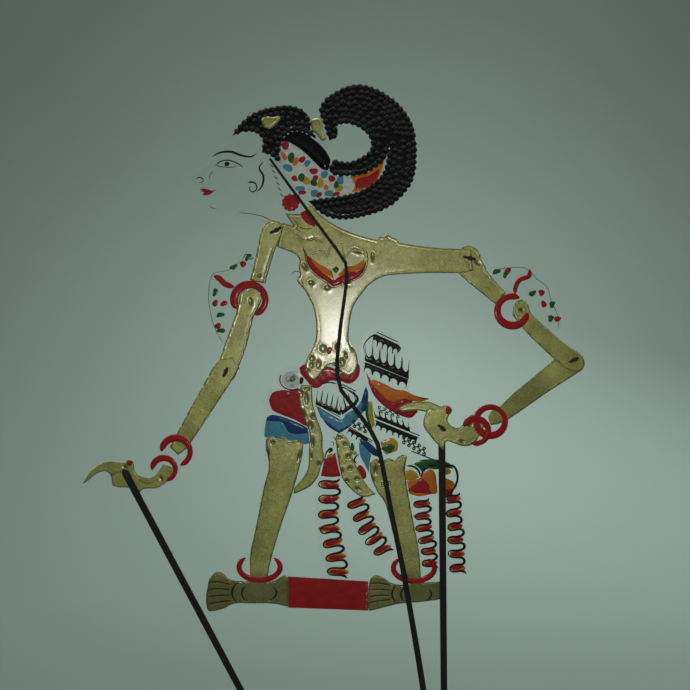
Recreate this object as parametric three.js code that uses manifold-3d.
// Flat rod puppet: a clear-sheet figure with gold foil panels and raised black hair, clamped by one
// forked main rod, with two jointed arms that are worked by two hand rods.
//
// Millimetres, +Z up. The figure stands in the XZ plane and faces -Y. Outlines are drawn in the
// figure's own coordinates: [right of the figure's middle, above its soles]. The whole figure is then
// set so that the row's origin is the middle of the main rod's flat foot.
import * as THREE from 'three';
import Module from 'manifold-3d';
import { mergeVertices } from 'three/addons/utils/BufferGeometryUtils.js';

const wasm = await Module();
wasm.setup();

// ---- driving dimensions ----
const SHEET = 0.8; // clear sheet thickness
const FOIL = 0.3; // gold foil thickness
const HAIR = 1.2; // height of the raised hair
const SKIN_GAP = 0.05; // glue line between a sheet and what is bonded on it
const ROD_FOOT = [82, -200]; // main rod foot, in figure coordinates
const FORK_V = -8; // the main rod's fork closes just under the soles
const ROD_FRONT = -1.7; // main rod, front and back faces
const ROD_BACK = 2.2;
const FORK_FRONT = -0.5; // the fork's slot, which takes the sheet
const FORK_BACK = 1.0;
const HAND_ROD_LENGTH = 330;
const THREAD_R = 0.6; // thread through a joint
const THREAD_HOLE_R = 1.0; // hole that the thread runs in
const KNOT_R = 2.1; // knot that stops the thread

// Depth of each sheet's front face. Each piece moves in its own layer.
const LAYER = {
  body: 0,
  leftUpperArm: -4.3,
  leftForearm: -5.8,
  rightUpperArm: 1.45,
  rightElbow: 2.9,
  rightHand: -6.4,
};

// Joint centres, in figure coordinates.
const PIVOT = {
  leftShoulder: [-48, 286],
  leftElbow: [-85.5, 180],
  leftHand: [-160, 105],
  rightShoulder: [97, 265.5],
  rightElbow: [175.5, 189],
  rightHand: [76, 138.5],
};
const LEFT_ROD_LEAN = 28; // degrees off vertical
const RIGHT_ROD_LEAN = 0.5;

// ---- materials ----
const finish = (color, roughness, metalness = 0, opacity = 1) => new THREE.MeshStandardMaterial({
  color, roughness, metalness, opacity, transparent: opacity < 1,
});
const CLEAR = finish('#dfe6e2', 0.15, 0, 0.35);
const GOLD = finish('#a8974e', 0.38, 0.85);
const BLACK_HAIR = finish('#0c0a0b', 0.22);
const BLACK_ROD = finish('#1b1918', 0.4);
const THREAD = finish('#151212', 0.8);

// ---- shape helpers ----
const CURVE_STEPS = 2; // straight steps for each point of a smooth run
const THROUGH = 20; // half the depth of a cut that goes right through the figure
const BEYOND = 400; // a length beyond anything on the figure
const vec = ([u, v]) => new THREE.Vector2(u, v);

// A closed outline made of runs: each run is a smooth stretch, and runs meet at corners.
function outline(...runs) {
  const shape = new THREE.Shape();
  shape.moveTo(...runs[0][0]);
  runs.forEach((run, i) => {
    const rest = i === 0 ? run.slice(1) : run;
    if (rest.length === 1) shape.lineTo(...rest[0]);
    else if (rest.length) shape.splineThru(rest.map(vec));
  });
  return shape;
}

const polygon = (points) => new THREE.Shape(points.map(vec));

function oval([u, v], halfWidth, halfHeight, sides = 24) {
  const turn = (Math.PI * 2) / sides;
  return polygon(Array.from({ length: sides }, (_, i) => (
    [u + halfWidth * Math.cos(i * turn), v + halfHeight * Math.sin(i * turn)])));
}

const disc = (centre, radius, sides) => oval(centre, radius, radius, sides);

// A strip along a smooth centreline; widthAt gives its width at a share of its length.
function strip(points, widthAt, steps) {
  const line = new THREE.SplineCurve(points.map(vec));
  const left = [];
  const right = [];
  for (let i = 0; i <= steps; i++) {
    const t = i / steps;
    const half = widthAt(t) / 2;
    const at = line.getPointAt(t);
    const side = line.getTangentAt(t).rotateAround(new THREE.Vector2(), Math.PI / 2);
    left.push(at.clone().addScaledVector(side, half));
    right.unshift(at.clone().addScaledVector(side, -half));
  }
  return new THREE.Shape([...left, ...right]);
}

const WAVE = 1.4; // how much a hanging strip's width changes along each curl
const STEPS_PER_WAVE = 4;

function wavyStrip(points, width, waves) {
  const length = new THREE.SplineCurve(points.map(vec)).getLength();
  const widthAt = (t) => {
    const wavy = width + WAVE * Math.cos(t * waves * Math.PI * 2);
    const intoEnd = Math.max(0, 1 - ((1 - t) * length) / (width / 2));
    return wavy * Math.max(0.4, Math.sqrt(1 - intoEnd ** 2)); // the lower end is rounded
  };
  return strip(points, widthAt, waves * STEPS_PER_WAVE);
}

function solid(geometry) {
  const bare = geometry.index ? geometry.toNonIndexed() : geometry.clone();
  bare.deleteAttribute('normal');
  bare.deleteAttribute('uv');
  const merged = mergeVertices(bare, 1e-4);
  return new wasm.Manifold(new wasm.Mesh({
    numProp: 3,
    vertProperties: merged.attributes.position.array,
    triVerts: new Uint32Array(merged.index.array),
  }));
}

// The shape as straight stretches, with no two neighbouring points on one spot.
function flattened(shape) {
  const points = shape.getPoints(CURVE_STEPS);
  const apart = (a, b) => a.distanceTo(b) > 0.01;
  return new THREE.Shape(points.filter((point, i) => apart(point, points.at(i - 1))));
}

// A shape drawn in the XZ plane, from its front face to its back face along Y.
function plate(shape, front, back) {
  const geometry = new THREE.ExtrudeGeometry(flattened(shape), {
    depth: back - front, bevelEnabled: false,
  });
  geometry.applyMatrix4(new THREE.Matrix4().set(1, 0, 0, 0, 0, 0, -1, back, 0, 1, 0, 0, 0, 0, 0, 1));
  return solid(geometry);
}

const join = (solids) => wasm.Manifold.union(solids);
const sheetPlate = (shape, front) => plate(shape, front, front + SHEET);
const foilPlate = (shape, front) => plate(shape, front - SKIN_GAP - FOIL, front - SKIN_GAP);

function holeAt(point, radius = THREAD_HOLE_R) {
  return plate(disc(point, radius, 12), -THROUGH, THROUGH);
}

function box(size, centre) {
  return solid(new THREE.BoxGeometry(...size).translate(...centre));
}

function mesh(name, body, material) {
  const { vertProperties, triVerts, numProp } = body.getMesh();
  const position = new Float32Array(triVerts.length * 3);
  triVerts.forEach((vertex, i) => {
    for (let k = 0; k < 3; k++) position[i * 3 + k] = vertProperties[vertex * numProp + k];
  });
  const geometry = new THREE.BufferGeometry();
  geometry.setAttribute('position', new THREE.BufferAttribute(position, 3));
  geometry.computeVertexNormals();
  const made = new THREE.Mesh(geometry, material);
  made.name = name;
  return made;
}

// ---- outlines of the figure ----
const FACE = outline(
  [[-60, 362], [-84, 350], [-93.5, 341], [-97, 336]],
  [[-104, 331], [-112, 324]],
  [[-109, 320.5], [-103.5, 320]],
  [[-105.5, 316.5], [-101.5, 314.5]],
  [[-103, 312], [-98.5, 309], [-97.5, 303], [-91, 298.5], [-76, 297], [-60, 293.5], [-44, 286]],
  [[-28, 286]], [[-15, 312]], [[-30, 350]],
);
const EAR_WING = outline(
  [[-46, 352], [-40.5, 353.3], [-27.8, 345.8], [-12.8, 331.5], [-2.3, 327], [15.8, 327.8],
    [24, 331.5], [33, 339], [35.3, 346.5]],
  [[34, 334], [27.8, 324], [12, 314.3], [-15.8, 309.8], [-29.3, 312], [-46.5, 336.8]],
);
const HAIR_CRESCENT = outline(
  [[-7.9, 353.3], [-9.8, 360], [-12, 367.5], [-15, 374.3]],
  [[-14, 380], [-8.3, 386.3], [5.3, 393.8], [20.3, 394.5], [38.3, 385.5], [50.3, 372.8],
    [56.3, 357], [56.3, 331.5], [50.3, 317.3], [34.5, 303], [9, 295.5], [-9.8, 297], [-24, 308.3]],
  [[-15.8, 309.3], [12, 313.8], [28.2, 323.8], [34.6, 334], [36, 347]],
  [[33, 339.6], [24, 332.2], [15.8, 328.5], [-2.3, 327.7], [-8, 330.6]],
  [[-5.5, 339]],
  [[4.5, 336.8], [12.8, 339], [21.8, 344.3], [24, 351.8], [19.5, 360.8], [6.8, 366.8], [-3, 365.3],
    [-1.6, 360], [-2.3, 357], [-7.9, 353.3]],
);
const CRESCENT_HOLE = outline(
  [[-5, 341], [4.5, 338.3], [12, 340.6], [20.3, 345.6], [22.4, 352], [18.4, 359.4], [6.8, 365.2],
    [-1.8, 363.6]],
  [[-0.4, 357.5]], [[-6.6, 351.5]], [[-7.8, 346]],
);
const HAIR_FRONT = outline(
  [[-81, 357], [-75, 365.3], [-67.5, 372], [-57.8, 376.5], [-40.5, 379.5], [-30, 377.3], [-24, 372.8]],
  [[-22.9, 368]],
  [[-21.6, 360.2], [-17.9, 357]],
  [[-19, 355.2], [-24.5, 359.2], [-30, 361], [-36, 361], [-40.6, 358], [-44.2, 352.8], [-45.6, 346],
    [-45.9, 337.2]],
  [[-52, 343.2], [-58.8, 344.6]],
  [[-57, 354], [-63, 360], [-71.3, 360.8], [-81, 357]],
);
const HAIR_LOCK = outline(
  [[-44.3, 351.9], [-42.6, 355], [-39.9, 357.4], [-36, 360.1], [-30, 360.1], [-24.9, 358.2],
    [-19.6, 354.2], [-16, 351.6], [-10.2, 345.3], [-6.8, 338.8]],
  [[-8.9, 331.2]],
  [[-13.5, 332], [-20.5, 338.8], [-28, 345.9], [-35, 350.6], [-40.5, 353], [-44.3, 351.9]],
);
// Clear sheet between the two rolls of hair, the lock and the clasp.
const CROWN = polygon([[-44, 350], [-25, 371], [-13.5, 370.5], [-9.5, 355], [-9.3, 346], [-12, 338]]);
const HAIR_CLASP = outline(
  [[-22.2, 369.2], [-17, 370.4], [-13.4, 368.8]],
  [[-12.9, 361], [-10.4, 354.8]],
  [[-13.5, 353], [-17.3, 358], [-21, 360.8]],
);
const FOREHEAD_JEWEL = outline(
  [[-59.5, 369.2], [-55.8, 371.8], [-51, 370.8], [-45.8, 371.8], [-45, 368.3], [-52, 361.8]],
  [[-57, 363]],
);
const TORSO = outline(
  [[-43, 292], [-35, 289.5]],
  [[-41, 299]], [[-30, 298.5]],
  [[-21.8, 305.5], [-17.3, 300], [-7.5, 292.5], [3.8, 286.5], [15, 282.4], [27.5, 279]],
  [[29.5, 281.8], [33, 281], [36, 283], [40, 280.5], [43.5, 279.5], [44.3, 277]],
  [[60, 274.5], [80, 272.7], [98.3, 272.3]],
  [[99.8, 256.5]],
  [[91.5, 254.3], [63, 254.3], [39.8, 252.8], [31.5, 251.3], [22.5, 246], [15.8, 237.8],
    [9.8, 228.8], [6.8, 213.8], [6.8, 202.5], [11.3, 196.5], [13.5, 187.5], [11.3, 180], [6, 177],
    [0, 180.8], [-6.8, 186]],
  [[-11.3, 183], [-16.5, 176.3], [-20.3, 174], [-24, 177], [-26.3, 184.5], [-24.8, 189.8],
    [-21, 198], [-18, 205.5], [-18, 217.5], [-20.3, 229.5], [-27, 242.3]],
  [[-29.5, 244.8], [-32.5, 248.5], [-30, 253.5], [-31, 258], [-30, 263.3]],
  [[-33.8, 268.5], [-47.3, 273.8]],
);
const LEFT_LEG = outline(
  [[-55.5, 129.5], [-51, 133], [-47, 129.5]],
  [[-42, 132], [-38, 127.5]],
  [[-33, 129.5], [-27.5, 128]],
  [[-28, 118], [-31, 106], [-36, 88], [-43.5, 66.8], [-52, 38], [-55, 20]],
  [[-67, 20]],
  [[-67.5, 42.8], [-63.8, 60], [-57, 94.5], [-53.3, 108], [-55, 120], [-55.5, 129.5]],
);
const LEFT_FOOT = outline(
  [[-98, 25], [-93, 30.3], [-87, 28.7], [-82, 24], [-67, 23], [-52, 22.5], [-42, 27.7], [-38.6, 25]],
  [[-38.6, 3.7]],
  [[-44.5, 5.2], [-52, 6.4], [-67, 6.4], [-79.5, 6.4], [-87, 2.6], [-94.5, 0.8], [-99.3, 1.5],
    [-100.5, 12], [-98, 25]],
);
const RIGHT_LEG = outline(
  [[22.5, 112], [27, 115], [31, 112]],
  [[36, 115.5], [41, 113.5]],
  [[46, 118], [50.5, 117]],
  [[49, 104], [54, 73.5], [59.3, 45.8], [61, 20]],
  [[52.5, 20]],
  [[41.3, 52.5], [34.5, 80], [28.6, 89], [23, 101.4], [22.5, 112]],
);
const RIGHT_FOOT = outline(
  [[22.5, 25], [27.5, 28], [33.7, 25], [38.7, 21.7], [47.3, 20.5], [67.3, 22.5], [78.3, 22.3],
    [80, 16], [79.5, 11]],
  [[71.7, 8.9], [57.5, 7.2], [46.7, 6.5], [38.3, 4.8], [27.5, 2], [21.5, 1.5], [20.6, 12], [22.5, 25]],
);
const BASE_BLOCK = polygon([[-39.5, 27], [21.5, 23.3], [21.5, 0.8], [-39.5, 3]]);
const LEFT_SASH = outline(
  [[-29.3, 170.3], [-30.8, 159], [-27, 145], [-24, 138], [-22.5, 132], [-23.3, 121.5], [-23.5, 111],
    [-26, 103], [-34.4, 93.2]],
  [[-34.8, 88.6]],
  [[-30.3, 90.2], [-22, 94.5], [-16, 102.5], [-14.5, 108.8], [-11.3, 116], [-13, 121.7],
    [-13, 132.2], [-16.5, 143.3], [-20.3, 156], [-21, 170.3]],
);
const RIGHT_SASH = outline(
  [[-3.4, 130.2], [-1, 134.3], [6.3, 129.5], [9, 117.5], [11.6, 110.8], [17.7, 98.7], [24, 91]],
  [[27, 88.4]],
  [[18.4, 86], [13, 88], [6.3, 94], [1.5, 100.7], [-0.8, 110.3], [-2.6, 121.5], [-3.4, 130.2]],
);
const SKIRT = outline(
  [[-20, 192], [-27.8, 183]],
  [[-57, 161], [-56.5, 153], [-58.9, 136.5], [-56.3, 129]],
  [[-57, 117.8], [-54.5, 106]],
  [[-37, 87]],
  [[-22, 93.6], [-15.4, 101.4]],
  [[2, 99]],
  [[6.3, 93], [13, 86.8], [27, 85.6]],
  [[38, 108]],
  [[49, 104], [49, 86.3]],
  [[88.5, 86.3]],
  [[89.3, 95.4], [88, 107.4], [82.5, 112.8], [70.5, 116.3]],
  [[65.3, 126.8], [55.5, 145]],
  [[58.5, 150], [67, 159.4]],
  [[56, 162.2], [50.5, 166.9]],
  [[52.8, 171.2], [51.2, 183.8], [44.5, 190.3]],
  [[44.1, 199.9], [39.3, 206.5], [30.8, 211], [25, 211], [19.2, 206.5], [15.8, 198.9], [13.5, 190.5]],
  [[0, 192]],
);
const ROSETTE = disc([-36.2, 174.2], 11);
const RED_HIP = outline([[-56.5, 160.5], [-53, 167.5], [-44, 168], [-28, 170]], [[-26, 140]], [[-50, 150]]);
// The sashes that hang behind the legs are clear strips with a wave in each edge for every curl.
const HANGING_STRIPS = [
  wavyStrip([[-8, 108], [-9.6, 78.2], [-8.3, 64], [-6.7, 49], [-2.1, 37.3], [-1.5, 22]], 18.5, 7),
  wavyStrip([[7, 98], [14, 77.3], [17.3, 67.3], [22.5, 59], [27, 52.3], [32.5, 46], [35, 40]], 16.5, 5),
  wavyStrip([[60, 92], [60.8, 76.5], [62.5, 59], [65.4, 49], [68.8, 28]], 14.5, 6),
  wavyStrip([[83, 95], [85.2, 76.5], [86.5, 60.2], [87.2, 43.2], [89.5, 28]], 14.5, 6),
];

const ANKLETS = [oval([-60.3, 33.6], 17.8, 11.8), oval([55.5, 33], 17.8, 11.8)];

// ---- outlines of the arms ----
const LEFT_UPPER_FOIL = outline(
  [[-60.8, 277.3], [-58.5, 287], [-52, 293.5], [-44.5, 292], [-42.5, 286], [-47.3, 274.8],
    [-52, 259.9], [-55.8, 246]],
  [[-67.5, 248.5]],
  [[-64.5, 259.9], [-60.8, 277.3]],
);
const LEFT_LOWER_FOIL = outline(
  [[-74.5, 239], [-67, 244.5], [-59, 241.5], [-59, 232], [-64.5, 221.3], [-69.5, 200.3], [-75, 185.3],
    [-79, 175], [-85.5, 172], [-92, 176]],
  [[-92.5, 182]],
  [[-85.6, 202.7], [-78.2, 222.8], [-74.5, 239]],
);
const LEFT_ARMLET = outline(
  [[-65, 268], [-75, 263.5], [-83, 257], [-96, 253], [-99, 237], [-97.3, 222.8], [-94, 211], [-87, 201],
    [-80, 205]],
  [[-62, 235]],
);
const LEFT_BAND = disc([-67.5, 234], 14.6);
const LEFT_FOREARM_FOIL = polygon([
  [-89.3, 189.8], [-80.3, 191.3], [-75, 183], [-80.3, 174], [-114, 123], [-121, 118], [-127, 124],
  [-123, 132], [-111.8, 153], [-93.8, 185.3],
]);
const LEFT_HAND_FOIL = outline(
  [[-192, 96.8], [-188.8, 102], [-183.8, 108.3], [-174, 113.3], [-161.4, 112], [-158.5, 114.5],
    [-154, 112.5], [-152.7, 104.5], [-144, 100.8], [-137.3, 103.5], [-132, 111]],
  [[-124.5, 109]],
  [[-124, 101], [-129, 98.3], [-136.5, 93.4], [-146.5, 93], [-149.3, 90]],
  [[-154, 93.4], [-168.9, 94.6], [-170.3, 100.8], [-174, 105.8], [-181.3, 104.5], [-188.8, 98.3]],
);
const LEFT_WRIST = polygon([[-121, 134], [-112, 122], [-126, 98], [-140, 104]]);
const LEFT_BRACELETS = [disc([-122.5, 120.5], 13.2), disc([-131.5, 107.5], 11)];

const RIGHT_UPPER_FOIL = outline(
  [[88, 266], [91, 273], [98, 275], [104, 271.5]],
  [[110.8, 256], [124.8, 239.4]],
  [[117, 230.6]],
  [[92, 251], [88, 258], [88, 266]],
);
const RIGHT_LOWER_FOIL = outline(
  [[129.5, 222.8], [131, 231.5], [137, 234.5], [141.5, 231]],
  [[143.1, 225], [151.8, 216.4], [170.3, 200.3], [181, 193], [184, 186], [180.4, 180.4], [174, 180.8],
    [165, 186], [149.3, 200.3], [139.4, 210.2], [129.5, 222.8]],
);
const RIGHT_ARMLET = outline(
  [[113.3, 252.8], [117, 258], [127.5, 259.2], [141, 258.4], [148.2, 251], [156.4, 244], [159.4, 233.5],
    [165.4, 220.5], [164.3, 211], [150, 214]],
  [[124, 235]],
);
const RIGHT_BAND = disc([129.5, 225.8], 14.2);
const RIGHT_FOREARM_FOIL = polygon([
  [182, 181.5], [176.9, 178], [155, 164], [137.5, 152.1], [126.6, 144.9], [118, 141], [112.5, 140.5],
  [110.5, 146.5], [113.5, 151.5], [119.4, 154], [131.3, 165.2], [145, 175.9], [158.8, 187.4],
  [166, 194], [175, 197.5], [183, 192],
]);
const RIGHT_HAND_FOIL = outline(
  [[43.1, 152.6], [49.8, 157], [59.3, 157.7], [66.6, 158], [75.3, 154.3]],
  [[80.6, 155.3], [84, 151.5], [80.4, 146.3], [80.6, 143], [84, 139.5], [88.5, 138.2], [91.5, 141],
    [96, 147], [104, 150]],
  [[108, 140]],
  [[101.3, 128], [93.4, 124.5], [85.3, 126.8], [79.3, 128.5], [77, 121.5]],
  [[73, 126], [69.8, 129], [66.6, 133.5], [62.5, 139], [62.5, 145.5], [64.6, 150.3]],
  [[56.5, 151.5], [45.8, 150.3]],
);
const RIGHT_WRIST = polygon([[116, 157], [122, 146], [98, 122], [90, 146]]);
const RIGHT_BRACELETS = [disc([112.5, 143.3], 13.6), disc([101.3, 136], 12)];

// ---- the main rod ----
const ROD_LINE = [
  [-52.5, 340], [-42.8, 326.3], [-30, 309], [-13.5, 286.5], [3.8, 262.5], [5.3, 251.3], [0.8, 217.5],
  [-1, 200.3], [-2.3, 183], [0, 168], [12.6, 150.8], [25, 133], [30, 118.5], [39.8, 68.3],
  [47.3, 31.5], [54.8, -11.3], [62.3, -57], [76, -150], ROD_FOOT, [83, -208],
];
const ROD_TOP_WIDTH = 1.8;
const ROD_FOOT_WIDTH = 5.6;
const TIE_STATIONS = [0.06, 0.19, 0.3, 0.47]; // share of the rod's length, from its top
const TIE_WIRE = 0.5;
const TIE_LENGTH = 1.6;
const TIE_CLEARANCE = 0.3; // round the thread where it passes through the sheet
const TIE_PLAY = 0.25; // between the thread and the rod's sides

const rodWidth = (share) => THREE.MathUtils.lerp(ROD_TOP_WIDTH, ROD_FOOT_WIDTH, share);

function mainRod() {
  const shape = strip(ROD_LINE, rodWidth, 48);
  const slotDepth = FORK_BACK - FORK_FRONT;
  const slotMiddle = (FORK_BACK + FORK_FRONT) / 2;
  const slot = box([BEYOND, slotDepth, BEYOND], [0, slotMiddle, FORK_V + BEYOND / 2]);
  const below = box([BEYOND, THROUGH, BEYOND], [ROD_FOOT[0], 0, ROD_FOOT[1] - BEYOND / 2]);
  return plate(shape, ROD_FRONT, ROD_BACK).subtract(slot).subtract(below);
}

// A tie goes round both prongs and through the sheet: a closed loop of thread.
function tieAt(share) {
  const line = new THREE.SplineCurve(ROD_LINE.map(vec));
  const at = line.getPointAt(share);
  const along = line.getTangentAt(share);
  const inner = rodWidth(share) + 2 * TIE_PLAY;
  const outer = inner + 2 * TIE_WIRE;
  const front = ROD_FRONT - TIE_PLAY;
  const back = ROD_BACK + TIE_PLAY;
  const turned = (width, length, from, to) => box([width, to - from, length], [0, (from + to) / 2, 0])
    .rotate([0, THREE.MathUtils.radToDeg(Math.atan2(along.x, along.y)), 0])
    .translate([at.x, 0, at.y]);
  const loop = turned(outer, TIE_LENGTH, front - TIE_WIRE, back + TIE_WIRE)
    .subtract(turned(inner, 2 * TIE_LENGTH, front, back));
  const slotLength = TIE_LENGTH + 2 * TIE_CLEARANCE;
  const slots = turned(outer + 2 * TIE_CLEARANCE, slotLength, front, back)
    .subtract(turned(inner - 2 * TIE_CLEARANCE, 2 * slotLength, -THROUGH, THROUGH));
  return { loop, slots };
}
const TIES = TIE_STATIONS.map(tieAt);

// ---- the body ----
// The holes for the shoulder threads and the slots for the ties.
function bodyCuts() {
  return join([holeAt(PIVOT.leftShoulder), holeAt(PIVOT.rightShoulder), ...TIES.map((tie) => tie.slots)]);
}

function bodySheet() {
  const shapes = [FACE, CROWN, EAR_WING, HAIR_CRESCENT, HAIR_FRONT, HAIR_LOCK, HAIR_CLASP, TORSO, LEFT_LEG,
    LEFT_FOOT, RIGHT_LEG, RIGHT_FOOT, BASE_BLOCK, SKIRT, ROSETTE, RED_HIP, LEFT_SASH, RIGHT_SASH,
    ...ANKLETS, ...HANGING_STRIPS];
  const whole = join(shapes.map((shape) => sheetPlate(shape, LAYER.body)));
  return whole.subtract(plate(CRESCENT_HOLE, -THROUGH, THROUGH)).subtract(bodyCuts());
}

function bodyFoil(...shapes) {
  return join(shapes.map((shape) => foilPlate(shape, LAYER.body))).subtract(bodyCuts());
}

const raised = (shape, height) => plate(shape, -SKIN_GAP - height, -SKIN_GAP);

function bodyMeshes() {
  const jewelBack = -SKIN_GAP - HAIR - SKIN_GAP;
  const made = [
    mesh('body_sheet', bodySheet(), CLEAR),
    mesh('torso_foil', bodyFoil(TORSO), GOLD),
    mesh('left_leg_foil', bodyFoil(LEFT_LEG, LEFT_FOOT), GOLD),
    mesh('right_leg_foil', bodyFoil(RIGHT_LEG, RIGHT_FOOT), GOLD),
    mesh('left_sash_foil', bodyFoil(LEFT_SASH), GOLD),
    mesh('right_sash_foil', bodyFoil(RIGHT_SASH), GOLD),
    mesh('hair_crescent', raised(HAIR_CRESCENT, HAIR), BLACK_HAIR),
    mesh('hair_front', raised(HAIR_FRONT, HAIR), BLACK_HAIR),
    mesh('hair_lock', raised(HAIR_LOCK, HAIR), BLACK_HAIR),
    mesh('hair_clasp', raised(HAIR_CLASP, HAIR), GOLD),
    mesh('forehead_jewel', plate(FOREHEAD_JEWEL, jewelBack - 2 * FOIL, jewelBack), GOLD),
    mesh('main_rod', mainRod(), BLACK_ROD),
  ];
  const tieNames = ['head_tie', 'chest_tie', 'waist_tie', 'hip_tie'];
  TIES.forEach((tie, i) => made.push(mesh(tieNames[i], tie.loop, THREAD)));
  return made;
}

// ---- the arms ----
const drilled = (body, ...points) => body.subtract(join(points.map((point) => holeAt(point))));

function leftArmMeshes() {
  const { leftShoulder, leftElbow, leftHand } = PIVOT;
  const upper = [LEFT_UPPER_FOIL, LEFT_LOWER_FOIL, LEFT_ARMLET, LEFT_BAND];
  const fore = [LEFT_FOREARM_FOIL, LEFT_HAND_FOIL, LEFT_WRIST, ...LEFT_BRACELETS];
  const upperFoil = (shape) => foilPlate(shape, LAYER.leftUpperArm);
  const foreFoil = (shape) => foilPlate(shape, LAYER.leftForearm);
  const upperSheet = join(upper.map((shape) => sheetPlate(shape, LAYER.leftUpperArm)));
  const foreSheet = join(fore.map((shape) => sheetPlate(shape, LAYER.leftForearm)));
  return [
    mesh('left_upper_arm_sheet', drilled(upperSheet, leftShoulder, leftElbow), CLEAR),
    mesh('left_upper_arm_foil', drilled(upperFoil(LEFT_UPPER_FOIL), leftShoulder), GOLD),
    mesh('left_lower_arm_foil', drilled(upperFoil(LEFT_LOWER_FOIL), leftElbow), GOLD),
    mesh('left_forearm_sheet', drilled(foreSheet, leftElbow, leftHand), CLEAR),
    mesh('left_forearm_foil', drilled(foreFoil(LEFT_FOREARM_FOIL), leftElbow), GOLD),
    mesh('left_hand_foil', drilled(foreFoil(LEFT_HAND_FOIL), leftHand), GOLD),
  ];
}

// The right forearm bends gently forward between the elbow, behind the figure, and the hand, in front.
const BEND_START = 20; // distance from the elbow where the bend begins, and where it ends
const BEND_END = 94;
const BEND_STEPS = 8;
const BEND_REACH = 180; // how far the bent layer runs past the elbow each way, and to each side

function bentLayer(offset, thickness) {
  const { rightElbow, rightHand } = PIVOT;
  const profile = new THREE.Shape();
  const depthAt = (s) => {
    const t = THREE.MathUtils.smoothstep(s, BEND_START, BEND_END);
    return THREE.MathUtils.lerp(LAYER.rightElbow, LAYER.rightHand, t) + offset;
  };
  const stations = [-BEND_REACH];
  for (let i = 0; i <= BEND_STEPS; i++) {
    stations.push(THREE.MathUtils.lerp(BEND_START, BEND_END, i / BEND_STEPS));
  }
  stations.push(BEND_REACH);
  stations.forEach((s, i) => (i ? profile.lineTo(s, depthAt(s)) : profile.moveTo(s, depthAt(s))));
  [...stations].reverse().forEach((s) => profile.lineTo(s, depthAt(s) + thickness));
  const ribbon = new THREE.ExtrudeGeometry(profile, { depth: 2 * BEND_REACH, bevelEnabled: false });
  const heading = Math.atan2(rightHand[1] - rightElbow[1], rightHand[0] - rightElbow[0]);
  ribbon.translate(0, 0, -BEND_REACH);
  ribbon.applyMatrix4(new THREE.Matrix4().makeRotationY(-heading));
  ribbon.translate(rightElbow[0], 0, rightElbow[1]);
  return solid(ribbon);
}

function bentPlate(shapes, offset, thickness) {
  const outlines = join(shapes.map((shape) => plate(shape, -THROUGH, THROUGH)));
  return outlines.intersect(bentLayer(offset, thickness));
}

function rightArmMeshes() {
  const { rightShoulder, rightElbow, rightHand } = PIVOT;
  const upper = [RIGHT_UPPER_FOIL, RIGHT_LOWER_FOIL, RIGHT_ARMLET, RIGHT_BAND];
  const fore = [RIGHT_FOREARM_FOIL, RIGHT_HAND_FOIL, RIGHT_WRIST, ...RIGHT_BRACELETS];
  const upperSheet = join(upper.map((shape) => sheetPlate(shape, LAYER.rightUpperArm)));
  const upperFoil = (shape) => foilPlate(shape, LAYER.rightUpperArm);
  const bentFoil = (shape) => bentPlate([shape], -SKIN_GAP - FOIL, FOIL);
  return [
    mesh('right_upper_arm_sheet', drilled(upperSheet, rightShoulder, rightElbow), CLEAR),
    mesh('right_upper_arm_foil', drilled(upperFoil(RIGHT_UPPER_FOIL), rightShoulder), GOLD),
    mesh('right_lower_arm_foil', drilled(upperFoil(RIGHT_LOWER_FOIL), rightElbow), GOLD),
    mesh('right_forearm_sheet', drilled(bentPlate(fore, 0, SHEET), rightElbow, rightHand), CLEAR),
    mesh('right_forearm_foil', drilled(bentFoil(RIGHT_FOREARM_FOIL), rightElbow), GOLD),
    mesh('right_hand_foil', drilled(bentFoil(RIGHT_HAND_FOIL), rightHand), GOLD),
  ];
}

// ---- the hand rods ----
const HAND_ROD_TOP_WIDTH = 5.2;
const HAND_ROD_END_WIDTH = 4.6;
const LEFT_ROD_DEPTH = [-8.5, -6.5];
const RIGHT_ROD_DEPTH = [-5.3, -3.3];

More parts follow.
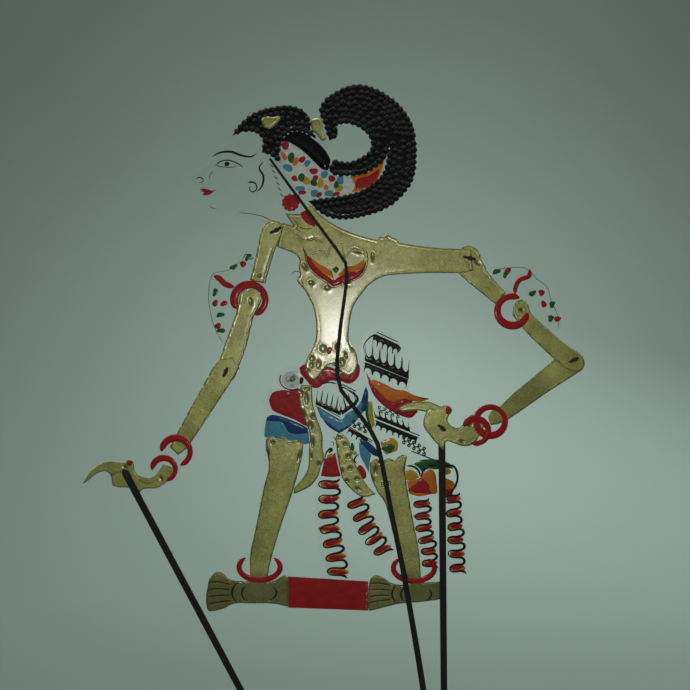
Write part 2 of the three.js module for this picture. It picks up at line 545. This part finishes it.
// A flat strip that hangs from its pivot, drilled for the thread, with a rounded top.
function handRod(name, pivot, lean, [front, back]) {
  const top = HAND_ROD_TOP_WIDTH / 2;
  const foot = HAND_ROD_END_WIDTH / 2;
  const shape = new THREE.Shape().absarc(0, 0, top, 0, Math.PI);
  shape.lineTo(-foot, -HAND_ROD_LENGTH);
  shape.lineTo(foot, -HAND_ROD_LENGTH);
  const made = mesh(name, plate(shape, front, back).subtract(holeAt([0, 0])), BLACK_ROD);
  const hinge = new THREE.Group();
  hinge.position.set(pivot[0], 0, pivot[1]);
  hinge.rotation.y = -THREE.MathUtils.degToRad(lean);
  hinge.add(made);
  return hinge;
}

// ---- the thread knots at the joints ----
const KNOT_BEVEL = 0.25; // height of a knot's bevel
const KNOT_CROWN = KNOT_R * 0.7; // radius of a knot's flat crown

// A thread with a knot at the front and one at the back; depths run from the front of the front knot.
function threadKnot(name, [u, v], [frontKnot, threadStart, threadEnd, backKnot]) {
  const profile = [
    [0, frontKnot], [KNOT_CROWN, frontKnot], [KNOT_R, frontKnot + KNOT_BEVEL], [KNOT_R, threadStart],
    [THREAD_R, threadStart], [THREAD_R, threadEnd], [KNOT_R, threadEnd], [KNOT_R, backKnot - KNOT_BEVEL],
    [KNOT_CROWN, backKnot], [0, backKnot],
  ];
  const made = solid(new THREE.LatheGeometry(profile.map(vec), 12));
  return mesh(name, made.translate([u, 0, v]), THREAD);
}

function knotMeshes() {
  return [
    threadKnot('left_shoulder_knot', PIVOT.leftShoulder, [-5.7, -4.8, 0.95, 1.9]),
    threadKnot('left_elbow_knot', PIVOT.leftElbow, [-7.2, -6.3, -3.35, -2.6]),
    threadKnot('left_hand_knot', PIVOT.leftHand, [-9.6, -8.65, -4.85, -4.0]),
    threadKnot('right_shoulder_knot', PIVOT.rightShoulder, [-1.4, -0.5, 2.4, 3.2]),
    threadKnot('right_elbow_knot', PIVOT.rightElbow, [0.0, 0.95, 3.85, 4.7]),
    threadKnot('right_hand_knot', PIVOT.rightHand, [-7.8, -6.9, -3.15, -2.5]),
  ];
}

// ---- the whole puppet ----
const figure = new THREE.Group();
figure.position.set(-ROD_FOOT[0], 0, -ROD_FOOT[1]);
figure.add(
  ...bodyMeshes(),
  ...leftArmMeshes(),
  ...rightArmMeshes(),
  handRod('left_hand_rod', PIVOT.leftHand, LEFT_ROD_LEAN, LEFT_ROD_DEPTH),
  handRod('right_hand_rod', PIVOT.rightHand, RIGHT_ROD_LEAN, RIGHT_ROD_DEPTH),
  ...knotMeshes(),
);

const puppet = new THREE.Group();
puppet.add(figure);

export default puppet;
